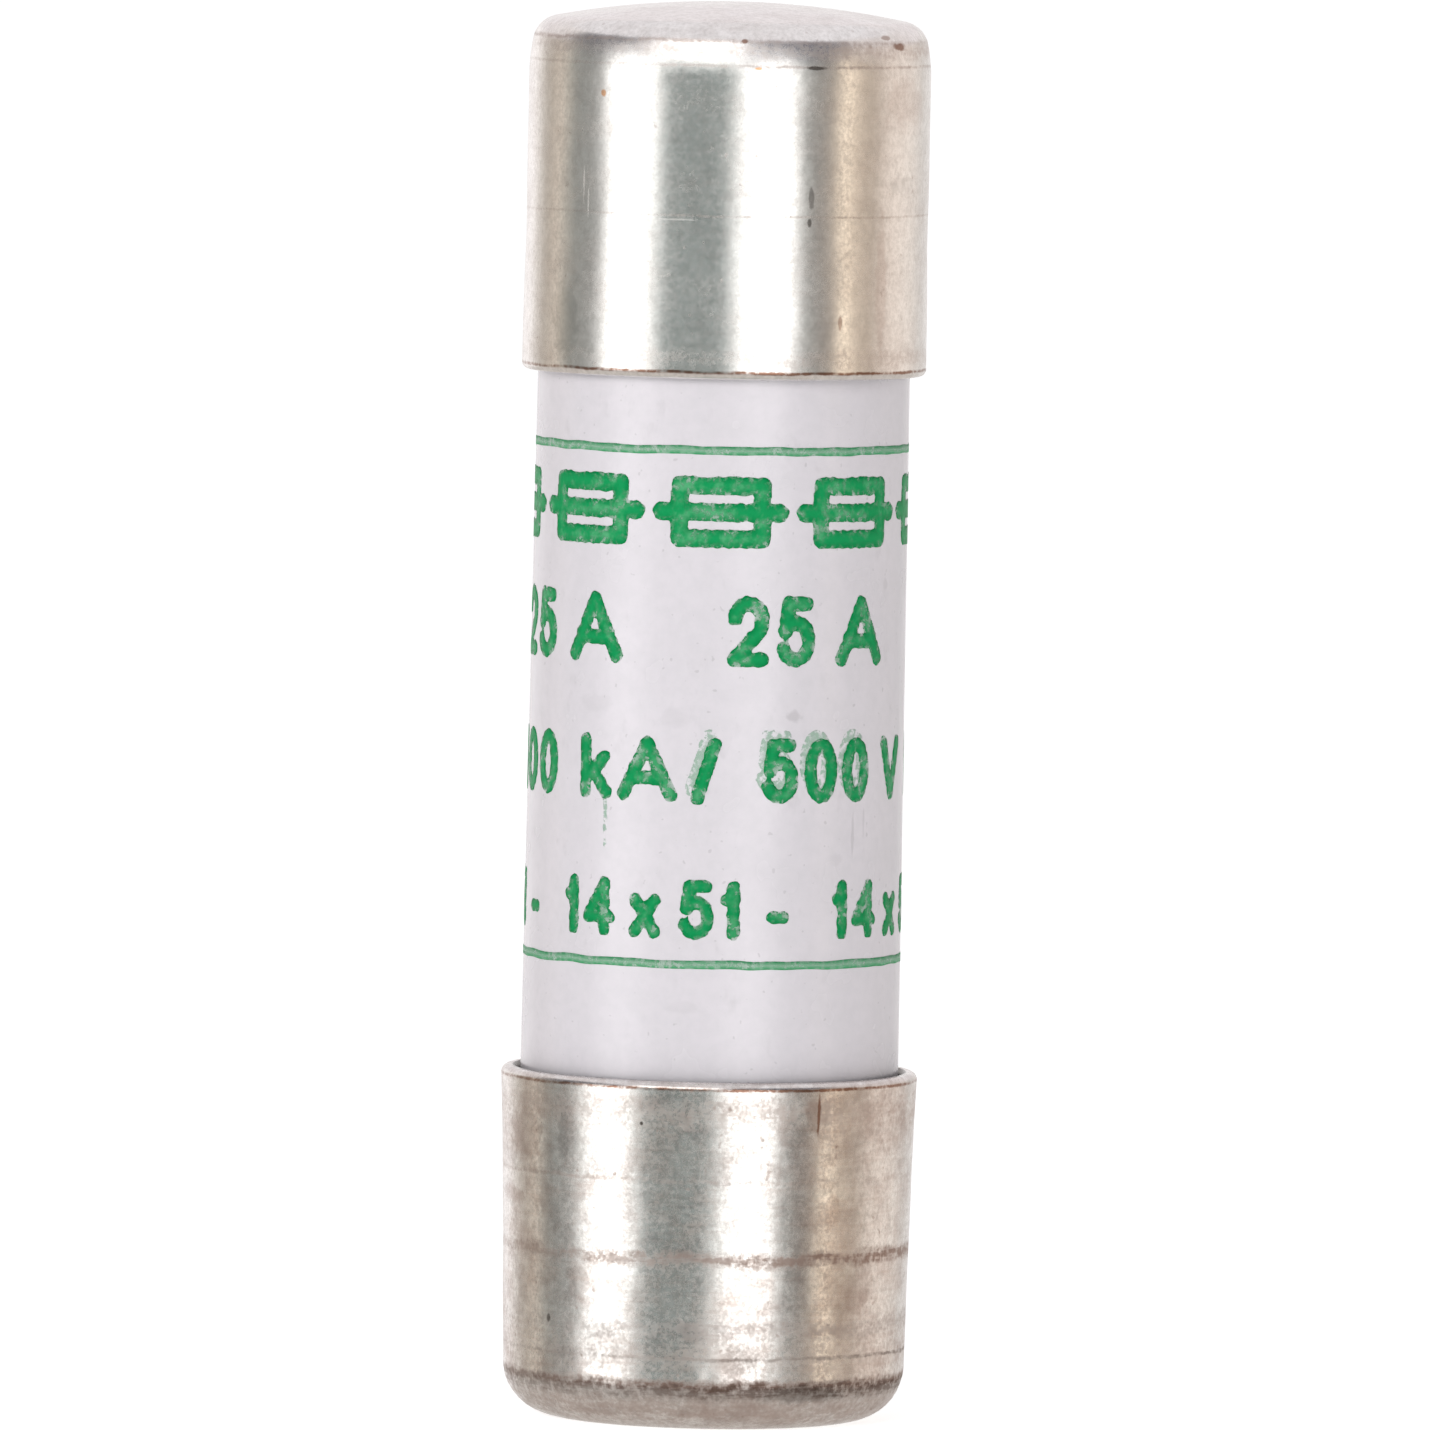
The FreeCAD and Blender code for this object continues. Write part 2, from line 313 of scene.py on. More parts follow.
def pen_runs(word, height, pen):
    """The straight runs of a word's strokes, in millimetres, centred on X and standing on Y = 0."""
    letters = [word] if word in CHARACTERS else list(word)
    gap = height * LETTER_GAP + pen
    widths = [CHARACTERS[letter][0] * height - pen for letter in letters]
    left = -(sum(widths) + gap * (len(letters) - 1)) / 2
    runs = []
    for letter, width in zip(letters, widths):
        for stroke in CHARACTERS[letter][1]:
            points = [Vector((left + x * width, pen / 2 + y * (height - pen), 0)) for x, y in stroke]
            runs += zip(points, points[1:])
        left += width + gap
    return runs


def nearest(point, runs):
    """The closest place to a point on any of the runs."""
    best, best_distance = None, math.inf
    for start, end in runs:
        along, share = geometry.intersect_point_line(point, start, end)
        place = start if share < 0 else end if share > 1 else along
        distance = (point - place).length
        if distance < best_distance:
            best, best_distance = place, distance
    return best, best_distance


def inked(runs, pen, ragged=INK_RAGGED):
    """Flat ink within half a pen's width of the runs, with a wandering edge, as a solid film."""
    reach = pen / 2 + INK_CELL
    low = Vector((min(min(a.x, b.x) for a, b in runs) - reach, min(min(a.y, b.y) for a, b in runs) - reach))
    high = Vector((max(max(a.x, b.x) for a, b in runs) + reach, max(max(a.y, b.y) for a, b in runs) + reach))
    size = high - low
    mesh = bmesh.new()
    bmesh.ops.create_grid(mesh, x_segments=math.ceil(size.x / INK_CELL),
                          y_segments=math.ceil(size.y / INK_CELL), size=0.5)
    bmesh.ops.scale(mesh, verts=mesh.verts[:], vec=(size.x, size.y, 1))
    bmesh.ops.translate(mesh, verts=mesh.verts[:], vec=(*(low + size / 2), 0))
    edge_mark = mesh.verts.layers.float.new("ink_edge")
    outside = {}
    for vert in mesh.verts:
        place, distance = nearest(vert.co, runs)
        rough = noise.noise(vert.co / RAGGED_SIZE) * ragged
        outside[vert] = (distance - pen / 2 + rough, (vert.co - place).normalized())
    spare = [face for face in mesh.faces if sum(outside[vert][0] for vert in face.verts) > 0]
    bmesh.ops.delete(mesh, geom=spare, context="FACES")
    for vert in mesh.verts:
        beyond, outward = outside[vert]
        if vert.is_boundary:
            vert.co -= outward * beyond
            vert[edge_mark] = 1.0
        else:
            vert[edge_mark] = max(0.0, 1.0 + beyond / EDGE_DARKENING)
    film = bmesh.ops.extrude_face_region(mesh, geom=mesh.faces[:], use_keep_orig=True)
    top = [item for item in film["geom"] if isinstance(item, bmesh.types.BMVert)]
    bmesh.ops.translate(mesh, verts=top, vec=(0, 0, 1))
    bmesh.ops.recalc_face_normals(mesh, faces=mesh.faces[:])
    return mesh


def stamp(joined, flat, azimuth, level, lift):
    """Add flat ink to a piece, bent round the tube: X becomes the way round and Y the height."""
    turned = flat.copy()
    for vert in turned.verts:
        angle = math.radians(azimuth) + vert.co.x / TUBE_RADIUS
        height = level + vert.co.y
        radius = TUBE_RADIUS + spread(height) + (lift if vert.co.z > 0.5 else -INK_SUNK)
        vert.co = Vector((radius * math.sin(angle), -radius * math.cos(angle), height)) * MM
    data = bpy.data.meshes.new("stamp")
    turned.to_mesh(data)
    turned.free()
    joined.from_mesh(data)
    bpy.data.meshes.remove(data)


def print_row(name, level, height, pen, repeats, words, ink, shadow_ink):
    """A row of words round the tube, and under it the faint second strike of some of them."""
    row, shadow = bmesh.new(), bmesh.new()
    for word, azimuth, doubled in words:
        runs = pen_runs(word, height, pen)
        flat = inked(runs, pen)
        for turn in range(repeats):
            place = azimuth + 360 * turn / repeats
            stamp(row, flat, place, level, INK_LIFT)
            if doubled:
                stamp(shadow, flat, place + DOUBLE_STRIKE[0], level + DOUBLE_STRIKE[1], INK_LIFT / 2)
        flat.free()
    finished(name, row, ink)
    if shadow.faces:
        finished(name + "_double_strike", shadow, shadow_ink)
    else:
        shadow.free()


def ring_line(name, level, material):
    half = RING_LINE_WIDTH / 2
    surface = TUBE_RADIUS + spread(level)
    low, high = surface - INK_SUNK, surface + INK_LIFT
    mesh = spun([(low, level - half), (high, level - half), (high, level), (high, level + half),
                 (low, level + half)])
    edge_mark = mesh.verts.layers.float.new("ink_edge")
    for vert in mesh.verts:
        vert[edge_mark] = abs(vert.co.z / MM - level) / half
        vert.co.z += noise.noise(vert.co / (RING_LINE_WAVE * MM)) * RING_LINE_SWAY * MM
    return finished(name, mesh, material)


def ink_run(material):
    """A thin run of ink below the voltage row."""
    start, end = Vector((0, 0, 0)), Vector((*INK_RUN_END, 0))
    flat = inked([(start, end)], INK_RUN_PEN, INK_RUN_RAGGED)
    run = bmesh.new()
    stamp(run, flat, INK_RUN[0], INK_RUN[1], INK_LIFT / 2)
    flat.free()
    return finished("ink_run", run, material)


# ---------------------------------------------------------------- shader helpers

def put(tree, kind, inputs=None, **settings):
    """Add a shader node. Each input is a constant, or a socket to link from."""
    made = tree.nodes.new("ShaderNode" + kind)
    for name, value in settings.items():
        setattr(made, name, value)
    for name, value in (inputs or {}).items():
        if isinstance(value, bpy.types.NodeSocket):
            tree.links.new(value, made.inputs[name])
        else:
            made.inputs[name].default_value = value
    return made


def maths(tree, operation, first, second=0.0, clamp=False):
    made = put(tree, "Math", {0: first, 1: second}, operation=operation, use_clamp=clamp)
    return made.outputs[0]


def mixed(tree, factor, first, second):
    """A colour between two others. The node has sockets of the same name, so colours go by number."""
    made = put(tree, "Mix", {0: factor, 6: first, 7: second}, data_type="RGBA")
    return made.outputs[2]


def ramp_between(tree, value, low, high, start=0.0, end=1.0):
    """Smoothly from start to end, while value goes from low to high."""
    made = put(tree, "MapRange", {"Value": value, "From Min": low, "From Max": high,
                                  "To Min": start, "To Max": end}, interpolation_type="SMOOTHSTEP")
    return made.outputs["Result"]


def object_place(tree):
    return put(tree, "TexCoord").outputs["Object"]


def new_group(name, inputs, outputs):
    """An empty node group. inputs map names to default numbers; outputs are names of numbers."""
    group = bpy.data.node_groups.new(name, "ShaderNodeTree")
    for label, value in inputs.items():
        socket = group.interface.new_socket(label, in_out="INPUT", socket_type="NodeSocketFloat")
        socket.default_value = value
    for label in outputs:
        group.interface.new_socket(label, in_out="OUTPUT", socket_type="NodeSocketFloat")
    return group, group.nodes.new("NodeGroupInput"), group.nodes.new("NodeGroupOutput")


def use_group(tree, group, **values):
    """Place a group; keyword names use _ for a space."""
    made = put(tree, "Group", node_tree=group)
    for name, value in values.items():
        socket = made.inputs[name.replace("_", " ")]
        if isinstance(value, bpy.types.NodeSocket):
            tree.links.new(value, socket)
        else:
            socket.default_value = value
    return made


# ---------------------------------------------------------------- shared effects

def position_group():
    """Where a point of the fuse is: degrees round from the front, and height and radius in mm."""
    group, _, out = new_group("place_on_fuse", {}, ["Azimuth", "Height", "Radius"])
    parts = put(group, "SeparateXYZ", {0: object_place(group)})
    backward = maths(group, "MULTIPLY", parts.outputs["Y"], -1.0)
    turn = maths(group, "ARCTAN2", parts.outputs["X"], backward)
    group.links.new(maths(group, "DEGREES", turn), out.inputs["Azimuth"])
    group.links.new(maths(group, "MULTIPLY", parts.outputs["Z"], PER_METRE), out.inputs["Height"])
    flat = put(group, "CombineXYZ", {"X": parts.outputs["X"], "Y": parts.outputs["Y"]})
    reach = put(group, "VectorMath", {0: flat.outputs[0]}, operation="LENGTH").outputs["Value"]
    group.links.new(maths(group, "MULTIPLY", reach, PER_METRE), out.inputs["Radius"])
    return group


def mottle_group():
    """Soft clouds: Size is the clouds' size in mm, Upright stretches them along the axis."""
    group, given, out = new_group(
        "mottle", {"Size": 1.0, "Upright": 1.0, "Detail": 3.0, "Low": 0.35, "High": 0.65, "Shift": 0.0},
        ["Mask"])
    parts = put(group, "SeparateXYZ", {0: object_place(group)})
    height = maths(group, "DIVIDE", parts.outputs["Z"], given.outputs["Upright"])
    place = put(group, "CombineXYZ", {"X": parts.outputs["X"], "Y": parts.outputs["Y"], "Z": height})
    moved = put(group, "VectorMath", {0: place.outputs[0], 1: given.outputs["Shift"]}, operation="ADD")
    scale = maths(group, "DIVIDE", PER_METRE, given.outputs["Size"])
    cloud = put(group, "TexNoise", {"Vector": moved.outputs[0], "Scale": scale,
                                    "Detail": given.outputs["Detail"], "Roughness": 0.6})
    mask = ramp_between(group, cloud.outputs["Fac"], given.outputs["Low"], given.outputs["High"])
    group.links.new(mask, out.inputs["Mask"])
    return group


def ring_stain_group(place, mottle):
    """A wavering, broken ring of dirt or wear at one height, strongest on the side at Side degrees."""
    group, given, out = new_group(
        "ring_stain", {"Level": 0.0, "Half Width": 0.3, "Waver": 0.2, "Waver Size": 1.5, "Side": 0.0},
        ["Mask"])
    here = use_group(group, place)
    cloud = put(group, "TexNoise", {"Vector": object_place(group),
                                    "Scale": maths(group, "DIVIDE", PER_METRE, given.outputs["Waver Size"]),
                                    "Detail": 5.0, "Roughness": 0.65})
    sway = maths(group, "MULTIPLY", maths(group, "SUBTRACT", cloud.outputs["Fac"], 0.5),
                 given.outputs["Waver"])
    away = maths(group, "SUBTRACT", maths(group, "ADD", here.outputs["Height"], sway),
                 given.outputs["Level"])
    share = maths(group, "DIVIDE", maths(group, "ABSOLUTE", away), given.outputs["Half Width"])
    rubbed = use_group(group, mottle, Size=1.4, Upright=0.12, Detail=4.0, Low=0.28, High=0.68,
                       Shift=given.outputs["Level"]).outputs[0]
    from_side = maths(group, "SUBTRACT", here.outputs["Azimuth"], given.outputs["Side"])
    side = maths(group, "COSINE", maths(group, "RADIANS", from_side))
    weight = maths(group, "ADD", maths(group, "MULTIPLY", side, 0.35), 0.65)
    grains = use_group(group, mottle, Size=0.26, Detail=3.0, Low=0.25, High=0.75).outputs[0]
    broken = maths(group, "MULTIPLY", maths(group, "ADD", rubbed, 0.5), maths(group, "ADD", grains, 0.35))
    mask = maths(group, "MULTIPLY", ramp_between(group, share, 1.0, 0.0), broken, clamp=True)
    group.links.new(maths(group, "MULTIPLY", mask, weight), out.inputs["Mask"])
    return group


def patch_group(place):
    """A ragged patch round one azimuth and height, in degrees and mm."""
    group, given, out = new_group(
        "patch", {"Azimuth": 0.0, "Half Angle": 5.0, "Level": 10.0, "Half Height": 1.0}, ["Mask"])
    here = use_group(group, place)
    cloud = put(group, "TexNoise", {"Vector": object_place(group), "Scale": 3000.0, "Detail": 3.0})
    ragged = maths(group, "ADD", maths(group, "MULTIPLY", cloud.outputs["Fac"], 1.4), 0.3)
    share_round = maths(group, "DIVIDE", maths(
        group, "SUBTRACT", here.outputs["Azimuth"], given.outputs["Azimuth"]), given.outputs["Half Angle"])
    share_up = maths(group, "DIVIDE", maths(
        group, "SUBTRACT", here.outputs["Height"], given.outputs["Level"]), given.outputs["Half Height"])
    both = put(group, "CombineXYZ", {"X": share_round, "Y": share_up})
    reach = put(group, "VectorMath", {0: both.outputs[0]}, operation="LENGTH").outputs["Value"]
    share = maths(group, "MULTIPLY", reach, ragged)
    group.links.new(ramp_between(group, share, 1.0, 0.5), out.inputs["Mask"])
    return group


PLACE = position_group()
MOTTLE = mottle_group()
RING_STAIN = ring_stain_group(PLACE, MOTTLE)
PATCH = patch_group(PLACE)


def patch(tree, azimuth, half_angle, level, half_height):
    """The mask of one patch."""
    return use_group(tree, PATCH, Azimuth=azimuth, Half_Angle=half_angle, Level=level,
                     Half_Height=half_height).outputs[0]


# ---------------------------------------------------------------- materials

def new_material(name):
    """A material with its shader; returns the material, its tree and the shader node."""
    material = bpy.data.materials.new(name)
    material.use_nodes = True
    tree = material.node_tree
    tree.nodes.clear()
    shader = put(tree, "BsdfPrincipled")
    output = put(tree, "OutputMaterial")
    tree.links.new(shader.outputs[0], output.inputs["Surface"])
    return material, tree, shader


def bumped(tree, height, distance, strength, below=None):
    """A normal from a height, over another normal."""
    made = put(tree, "Bump", {"Height": height, "Distance": distance * MM, "Strength": strength})
    if below is not None:
        tree.links.new(below, made.inputs["Normal"])
    return made.outputs[0]


SILVER = (0.92, 0.90, 0.87, 1)
DULL_SILVER = (0.50, 0.49, 0.46, 1)
TARNISH = (0.50, 0.39, 0.34, 1)
BROWN = (0.26, 0.15, 0.11, 1)
BLOTCHED = (0.36, 0.30, 0.28, 1)
DARK_BROWN = (0.15, 0.105, 0.085, 1)
# Near black: used for real dark stains and scratches, and also as painted shade on the inside of the caps'
# open edges
BLACK_STAIN_AND_SHADE = (0.07, 0.055, 0.045, 1)
COPPER = (0.62, 0.30, 0.12, 1)


def silver_plating(name, rim, film, pitting, stains, marks, scuffs):
    """Worn silver plate. rim is the open edge's (radius, height, line height); film is how tarnished the
    whole is, pitting how rough; stains, marks and scuffs are listed below."""
    material, tree, shader = new_material(name)
    shader.inputs["Metallic"].default_value = 1.0
    here = use_group(tree, PLACE)
    clouds = use_group(tree, MOTTLE, Size=2.2, Upright=0.7, Detail=4.0, Low=0.40, High=0.70).outputs[0]
    blotches = use_group(
        tree, MOTTLE, Size=0.9, Upright=0.8, Detail=5.0, Low=0.44, High=0.68, Shift=5.0).outputs[0]
    rubbed = use_group(tree, MOTTLE, Size=2.5, Upright=0.06, Detail=4.0, Low=0.42, High=0.75).outputs[0]
    drawn = use_group(tree, MOTTLE, Size=0.35, Upright=6.0, Low=0.4, High=0.8).outputs[0]
    grain = use_group(tree, MOTTLE, Size=0.3, Detail=5.0, Low=0.34, High=0.70).outputs[0]
    fine = use_group(tree, MOTTLE, Size=0.13, Detail=3.0, Low=0.32, High=0.68).outputs[0]
    specks = use_group(tree, MOTTLE, Size=0.34, Detail=1.0, Low=0.70, High=0.80).outputs[0]
    dulled = maths(tree, "ADD", maths(tree, "MULTIPLY", grain, 0.5), maths(tree, "MULTIPLY", fine, 0.4))
    colour = mixed(tree, maths(tree, "MULTIPLY", dulled, pitting), SILVER, DULL_SILVER)
    worn = maths(tree, "ADD", maths(tree, "MULTIPLY", clouds, 0.6), maths(tree, "MULTIPLY", rubbed, 0.35))
    worn = maths(tree, "ADD", worn, maths(tree, "MULTIPLY", drawn, 0.3))
    colour = mixed(tree, maths(tree, "MULTIPLY", worn, film), colour, TARNISH)
    colour = mixed(tree, maths(tree, "MULTIPLY", blotches, 0.6 * film), colour, BLOTCHED)
    colour = mixed(tree, maths(tree, "MULTIPLY", specks, 0.5 * pitting), colour, BROWN)
    dirt = maths(tree, "MULTIPLY", specks, 0.3)
    for level, half_width, waver, side, strength, tint in stains:
        ring = use_group(tree, RING_STAIN, Level=level, Half_Width=half_width, Waver=waver, Side=side)
        amount = maths(tree, "MULTIPLY", ring.outputs[0], strength)
        colour = mixed(tree, amount, colour, tint)
        dirt = maths(tree, "ADD", dirt, amount)
    for azimuth, half_angle, level, half_height, strength, tint in marks:
        spot = patch(tree, azimuth, half_angle, level, half_height)
        colour = mixed(tree, maths(tree, "MULTIPLY", spot, strength), colour, tint)
    rim_radius, rim_level, line_level = rim
    line = use_group(tree, RING_STAIN, Level=line_level, Half_Width=0.09, Waver=0.1, Side=20).outputs[0]
    colour = mixed(tree, maths(tree, "MULTIPLY", line, 1.2, clamp=True), colour, BROWN)
    # Painted shade: the inside of the wall near the open edge is painted near black, standing in for the
    # shadowed gap between the lip and the ceramic
    from_rim = maths(tree, "ABSOLUTE", maths(tree, "SUBTRACT", here.outputs["Height"], rim_level))
    inner_wall_painted_shade = maths(tree, "MULTIPLY", ramp_between(tree, from_rim, 4.0, 3.5),
                       ramp_between(tree, here.outputs["Radius"], rim_radius - 0.3, rim_radius - 0.37))
    colour = mixed(tree, inner_wall_painted_shade, colour, BLACK_STAIN_AND_SHADE)
    tree.links.new(colour, shader.inputs["Base Color"])
    rough = maths(tree, "ADD", maths(tree, "MULTIPLY", clouds, 0.05), 0.17)
    rough = maths(tree, "ADD", rough, maths(tree, "MULTIPLY", fine, 0.16 * pitting))
    rough = maths(tree, "ADD", rough, maths(tree, "MULTIPLY", dirt, 0.3))
    for azimuth, half_angle, level, half_height, strength in scuffs:
        spot = patch(tree, azimuth, half_angle, level, half_height)
        rough = maths(tree, "ADD", rough, maths(tree, "MULTIPLY", spot, strength))
    tree.links.new(rough, shader.inputs["Roughness"])
    swell = put(tree, "TexNoise", {"Vector": object_place(tree), "Scale": 500.0, "Detail": 2.0})
    dents = put(tree, "TexNoise", {"Vector": object_place(tree), "Scale": 1600.0, "Detail": 4.0})
    pits = put(tree, "TexNoise", {"Vector": object_place(tree), "Scale": 5000.0, "Detail": 3.0})
    normal = bumped(tree, swell.outputs["Fac"], 0.02, 0.6)
    normal = bumped(tree, dents.outputs["Fac"], 0.005, 0.5 * pitting, normal)
    normal = bumped(tree, pits.outputs["Fac"], 0.003, 0.8 * pitting, normal)
    tree.links.new(normal, shader.inputs["Normal"])
    return material


# Stains: (level, half width, waver, side, strength, colour)
# Marks: (azimuth, half angle, level, half height, strength, colour); dulled scuffs: the same but no colour
UPPER_STAINS = [
    (49.03, 0.12, 0.2, -40, 0.42, BROWN),
    (48.75, 0.45, 0.5, 60, 0.4, TARNISH),
    (48.17, 0.09, 0.12, 40, 0.35, BROWN),
    (42.9, 0.07, 0.2, 20, 0.25, BROWN),
    (37.9, 0.45, 0.5, 60, 0.25, TARNISH),
]
UPPER_MARKS = [
    (4, 1.4, 49.05, 0.12, 0.9, BROWN),
    (58, 3.5, 48.9, 0.16, 0.9, BROWN),
    (52, 3, 49.2, 0.10, 0.6, BROWN),
    (25, 4, 48.15, 0.09, 0.8, BLACK_STAIN_AND_SHADE),
    (-38.5, 1.2, 47.1, 0.13, 0.8, COPPER),
    (8, 1.4, 48.1, 0.07, 0.8, COPPER),
    (24.4, 1.0, 43.6, 0.5, 0.5, BLACK_STAIN_AND_SHADE),
    (24.0, 0.8, 42.7, 0.2, 0.7, BLACK_STAIN_AND_SHADE),
    (34.5, 1.0, 39.2, 0.35, 0.6, BROWN),
    (62, 14, 46.9, 1.0, 0.22, TARNISH),
    (50, 3, 40.5, 3.0, 0.3, TARNISH),
    (-52, 7, 39.0, 1.6, 0.5, DULL_SILVER),
]
UPPER_SCUFFS = [(-45.4, 0.35, 43.9, 0.8, 0.2), (-43.5, 0.3, 43.2, 0.6, 0.2), (-14, 8, 42.75, 0.04, 0.1),
                (60, 9, 44.0, 0.5, 0.15)]
LOWER_STAINS = [
    (11.3, 0.9, 1.6, 60, 0.35, TARNISH),
    (6.15, 0.40, 0.7, 65, 0.75, BROWN),
    (8.9, 0.14, 0.5, -90, 0.3, BROWN),
    (3.65, 0.5, 0.9, 60, 0.35, BLOTCHED),
    (2.6, 1.3, 1.0, 60, 0.3, TARNISH),
    (2.62, 0.11, 0.4, 100, 0.6, DARK_BROWN),
    (1.65, 0.30, 0.4, 20, 0.8, BROWN),
    (1.45, 0.50, 0.5, 40, 0.8, DARK_BROWN),
    (0.7, 0.8, 0.9, 0, 0.5, TARNISH),
]
LOWER_MARKS = [
    (28, 4, 7.5, 4.5, 0.25, BLOTCHED),
    (-51, 3.5, 8.5, 3.5, 0.2, BLOTCHED),
    (32, 0.7, 11.3, 0.95, 0.95, BROWN),
    (30, 2.5, 11.2, 0.8, 0.3, BROWN),
    (-18.6, 0.8, 10.9, 0.10, 0.9, BLACK_STAIN_AND_SHADE),
    (-44, 2.5, 10.4, 1.2, 0.2, BLACK_STAIN_AND_SHADE),
    (-50, 1.0, 3.8, 0.18, 0.7, BLACK_STAIN_AND_SHADE),
    (66, 12, 10.5, 0.9, 0.3, BROWN),
    (-62, 12, 10.2, 1.2, 0.3, BROWN),
    (-72, 10, 8.0, 0.4, 0.35, BROWN),
    (48, 10, 4.9, 1.1, 0.22, BROWN),
    (-38, 5, 5.2, 0.8, 0.2, BROWN),
    (24, 6, 10.6, 0.8, 0.22, BROWN),
    (38, 3.5, 7.8, 0.8, 0.25, BROWN),
    (30, 16, 1.35, 0.4, 0.4, BLACK_STAIN_AND_SHADE),
]
LOWER_SCUFFS = [(-30, 9, 3.0, 1.0, 0.1), (10, 8, 2.6, 0.8, 0.1)]


UPPER_WEAR = (0.2, 0.5)         # film, pitting
LOWER_WEAR = (0.6, 0.75)


CERAMIC_WHITE = (0.735, 0.70, 0.735, 1)
CERAMIC_GREY = (0.63, 0.61, 0.635, 1)
SMUDGE = (0.36, 0.34, 0.35, 1)
HANDLING_MARKS = [(-13, 5, 25.2, 0.5, 0.10), (24, 3, 25.3, 0.25, 0.35), (-40, 8, 25.6, 0.4, 0.10),
                  (47, 0.8, 21.0, 1.1, 0.25), (52, 0.6, 21.5, 0.7, 0.2), (40, 3, 20.2, 0.3, 0.12),
                  (-8, 6, 15.0, 0.3, 0.10), (62, 2, 29.9, 0.3, 0.2)]


def fired_ceramic():
    material, tree, shader = new_material("fired_ceramic")
    shader.inputs["IOR"].default_value = 1.5
    clouds = use_group(tree, MOTTLE, Size=3.0, Low=0.35, High=0.7).outputs[0]
    grain = use_group(tree, MOTTLE, Size=0.4, Detail=5.0, Low=0.3, High=0.75).outputs[0]
    smears = use_group(tree, MOTTLE, Size=0.9, Upright=1.6, Low=0.6, High=0.8).outputs[0]
    dust = use_group(tree, MOTTLE, Size=0.25, Detail=1.0, Low=0.72, High=0.78).outputs[0]
    colour = mixed(tree, maths(tree, "MULTIPLY", clouds, 0.25), CERAMIC_WHITE, CERAMIC_GREY)
    colour = mixed(tree, maths(tree, "MULTIPLY", grain, 0.35), colour, CERAMIC_GREY)
    colour = mixed(tree, maths(tree, "MULTIPLY", smears, 0.2), colour, SMUDGE)
    colour = mixed(tree, maths(tree, "MULTIPLY", dust, 0.3), colour, SMUDGE)
    for azimuth, half_angle, level, half_height, strength in HANDLING_MARKS:
        spot = patch(tree, azimuth, half_angle, level, half_height)
        colour = mixed(tree, maths(tree, "MULTIPLY", spot, strength), colour, SMUDGE)
    tree.links.new(colour, shader.inputs["Base Color"])
    tree.links.new(maths(tree, "ADD", maths(tree, "MULTIPLY", clouds, 0.1), 0.19), shader.inputs["Roughness"])
    swell = put(tree, "TexNoise", {"Vector": object_place(tree), "Scale": 350.0, "Detail": 2.0})
    pits = put(tree, "TexNoise", {"Vector": object_place(tree), "Scale": 7000.0, "Detail": 3.0})
    normal = bumped(tree, swell.outputs["Fac"], 0.02, 0.5)
    normal = bumped(tree, pits.outputs["Fac"], 0.003, 0.4, normal)
    tree.links.new(normal, shader.inputs["Normal"])
    return material


INK_GREEN = (0.008, 0.31, 0.096, 1)
INK_PALE = (0.15, 0.48, 0.25, 1)
INK_THIN = (0.22, 0.50, 0.30, 1)
INK_DARK = (0.0, 0.21, 0.057, 1)
FULL_INK = (INK_GREEN, INK_PALE, INK_DARK, 1.0)
LINE_INK = (INK_PALE, INK_THIN, INK_GREEN, 0.92, 0.4, 0.2)
FAINT_INK = (INK_PALE, INK_THIN, INK_PALE, 0.36)


def green_ink(name, full, pale, dark, cover, hollow=0.0, wear=0.4):
    """Ink of uneven density: full and pale in clouds, dark along its edges. cover is how opaque it is,
    hollow how much less so away from its edges, wear how much of it is rubbed off in spots."""
    material, tree, shader = new_material(name)
    edge = put(tree, "Attribute", attribute_name="ink_edge").outputs["Fac"]
    clouds = use_group(tree, MOTTLE, Size=0.7, Low=0.42, High=0.66).outputs[0]
    stipple = use_group(tree, MOTTLE, Size=0.2, Detail=3.0, Low=0.42, High=0.54).outputs[0]
    colour = mixed(tree, maths(tree, "MULTIPLY", clouds, 0.6), full, pale)
    border = maths(tree, "MULTIPLY", maths(tree, "MULTIPLY", edge, stipple), 0.9)
    colour = mixed(tree, border, colour, dark)
    tree.links.new(colour, shader.inputs["Base Color"])
    shader.inputs["Roughness"].default_value = 0.4
    shader.inputs["Specular IOR Level"].default_value = 0.05
    unstippled = maths(tree, "SUBTRACT", 1.0, stipple)
    at_edge = maths(tree, "MULTIPLY", maths(tree, "MULTIPLY", edge, unstippled), wear)
    thin = maths(tree, "ADD", maths(tree, "MULTIPLY", maths(tree, "MULTIPLY", clouds, unstippled), wear),
                 maths(tree, "MULTIPLY", maths(tree, "SUBTRACT", 1.0, edge), hollow))
    holes = maths(tree, "ADD", at_edge, thin)
    tree.links.new(maths(tree, "SUBTRACT", cover, holes, clamp=True), shader.inputs["Alpha"])
    return material


def plain_finish(name, first, second, size, metallic, roughness, relief):
    """An inner piece's finish: two mottled colours and a fine relief."""
    material, tree, shader = new_material(name)
    shader.inputs["Metallic"].default_value = metallic
    clouds = use_group(tree, MOTTLE, Size=size).outputs[0]
    tree.links.new(mixed(tree, clouds, first, second), shader.inputs["Base Color"])
    tree.links.new(maths(tree, "ADD", maths(tree, "MULTIPLY", clouds, 0.15), roughness),
                   shader.inputs["Roughness"])
    grain = use_group(tree, MOTTLE, Size=size / 4, Low=0.2, High=0.8).outputs[0]
    tree.links.new(bumped(tree, grain, relief, 0.6), shader.inputs["Normal"])
    return material


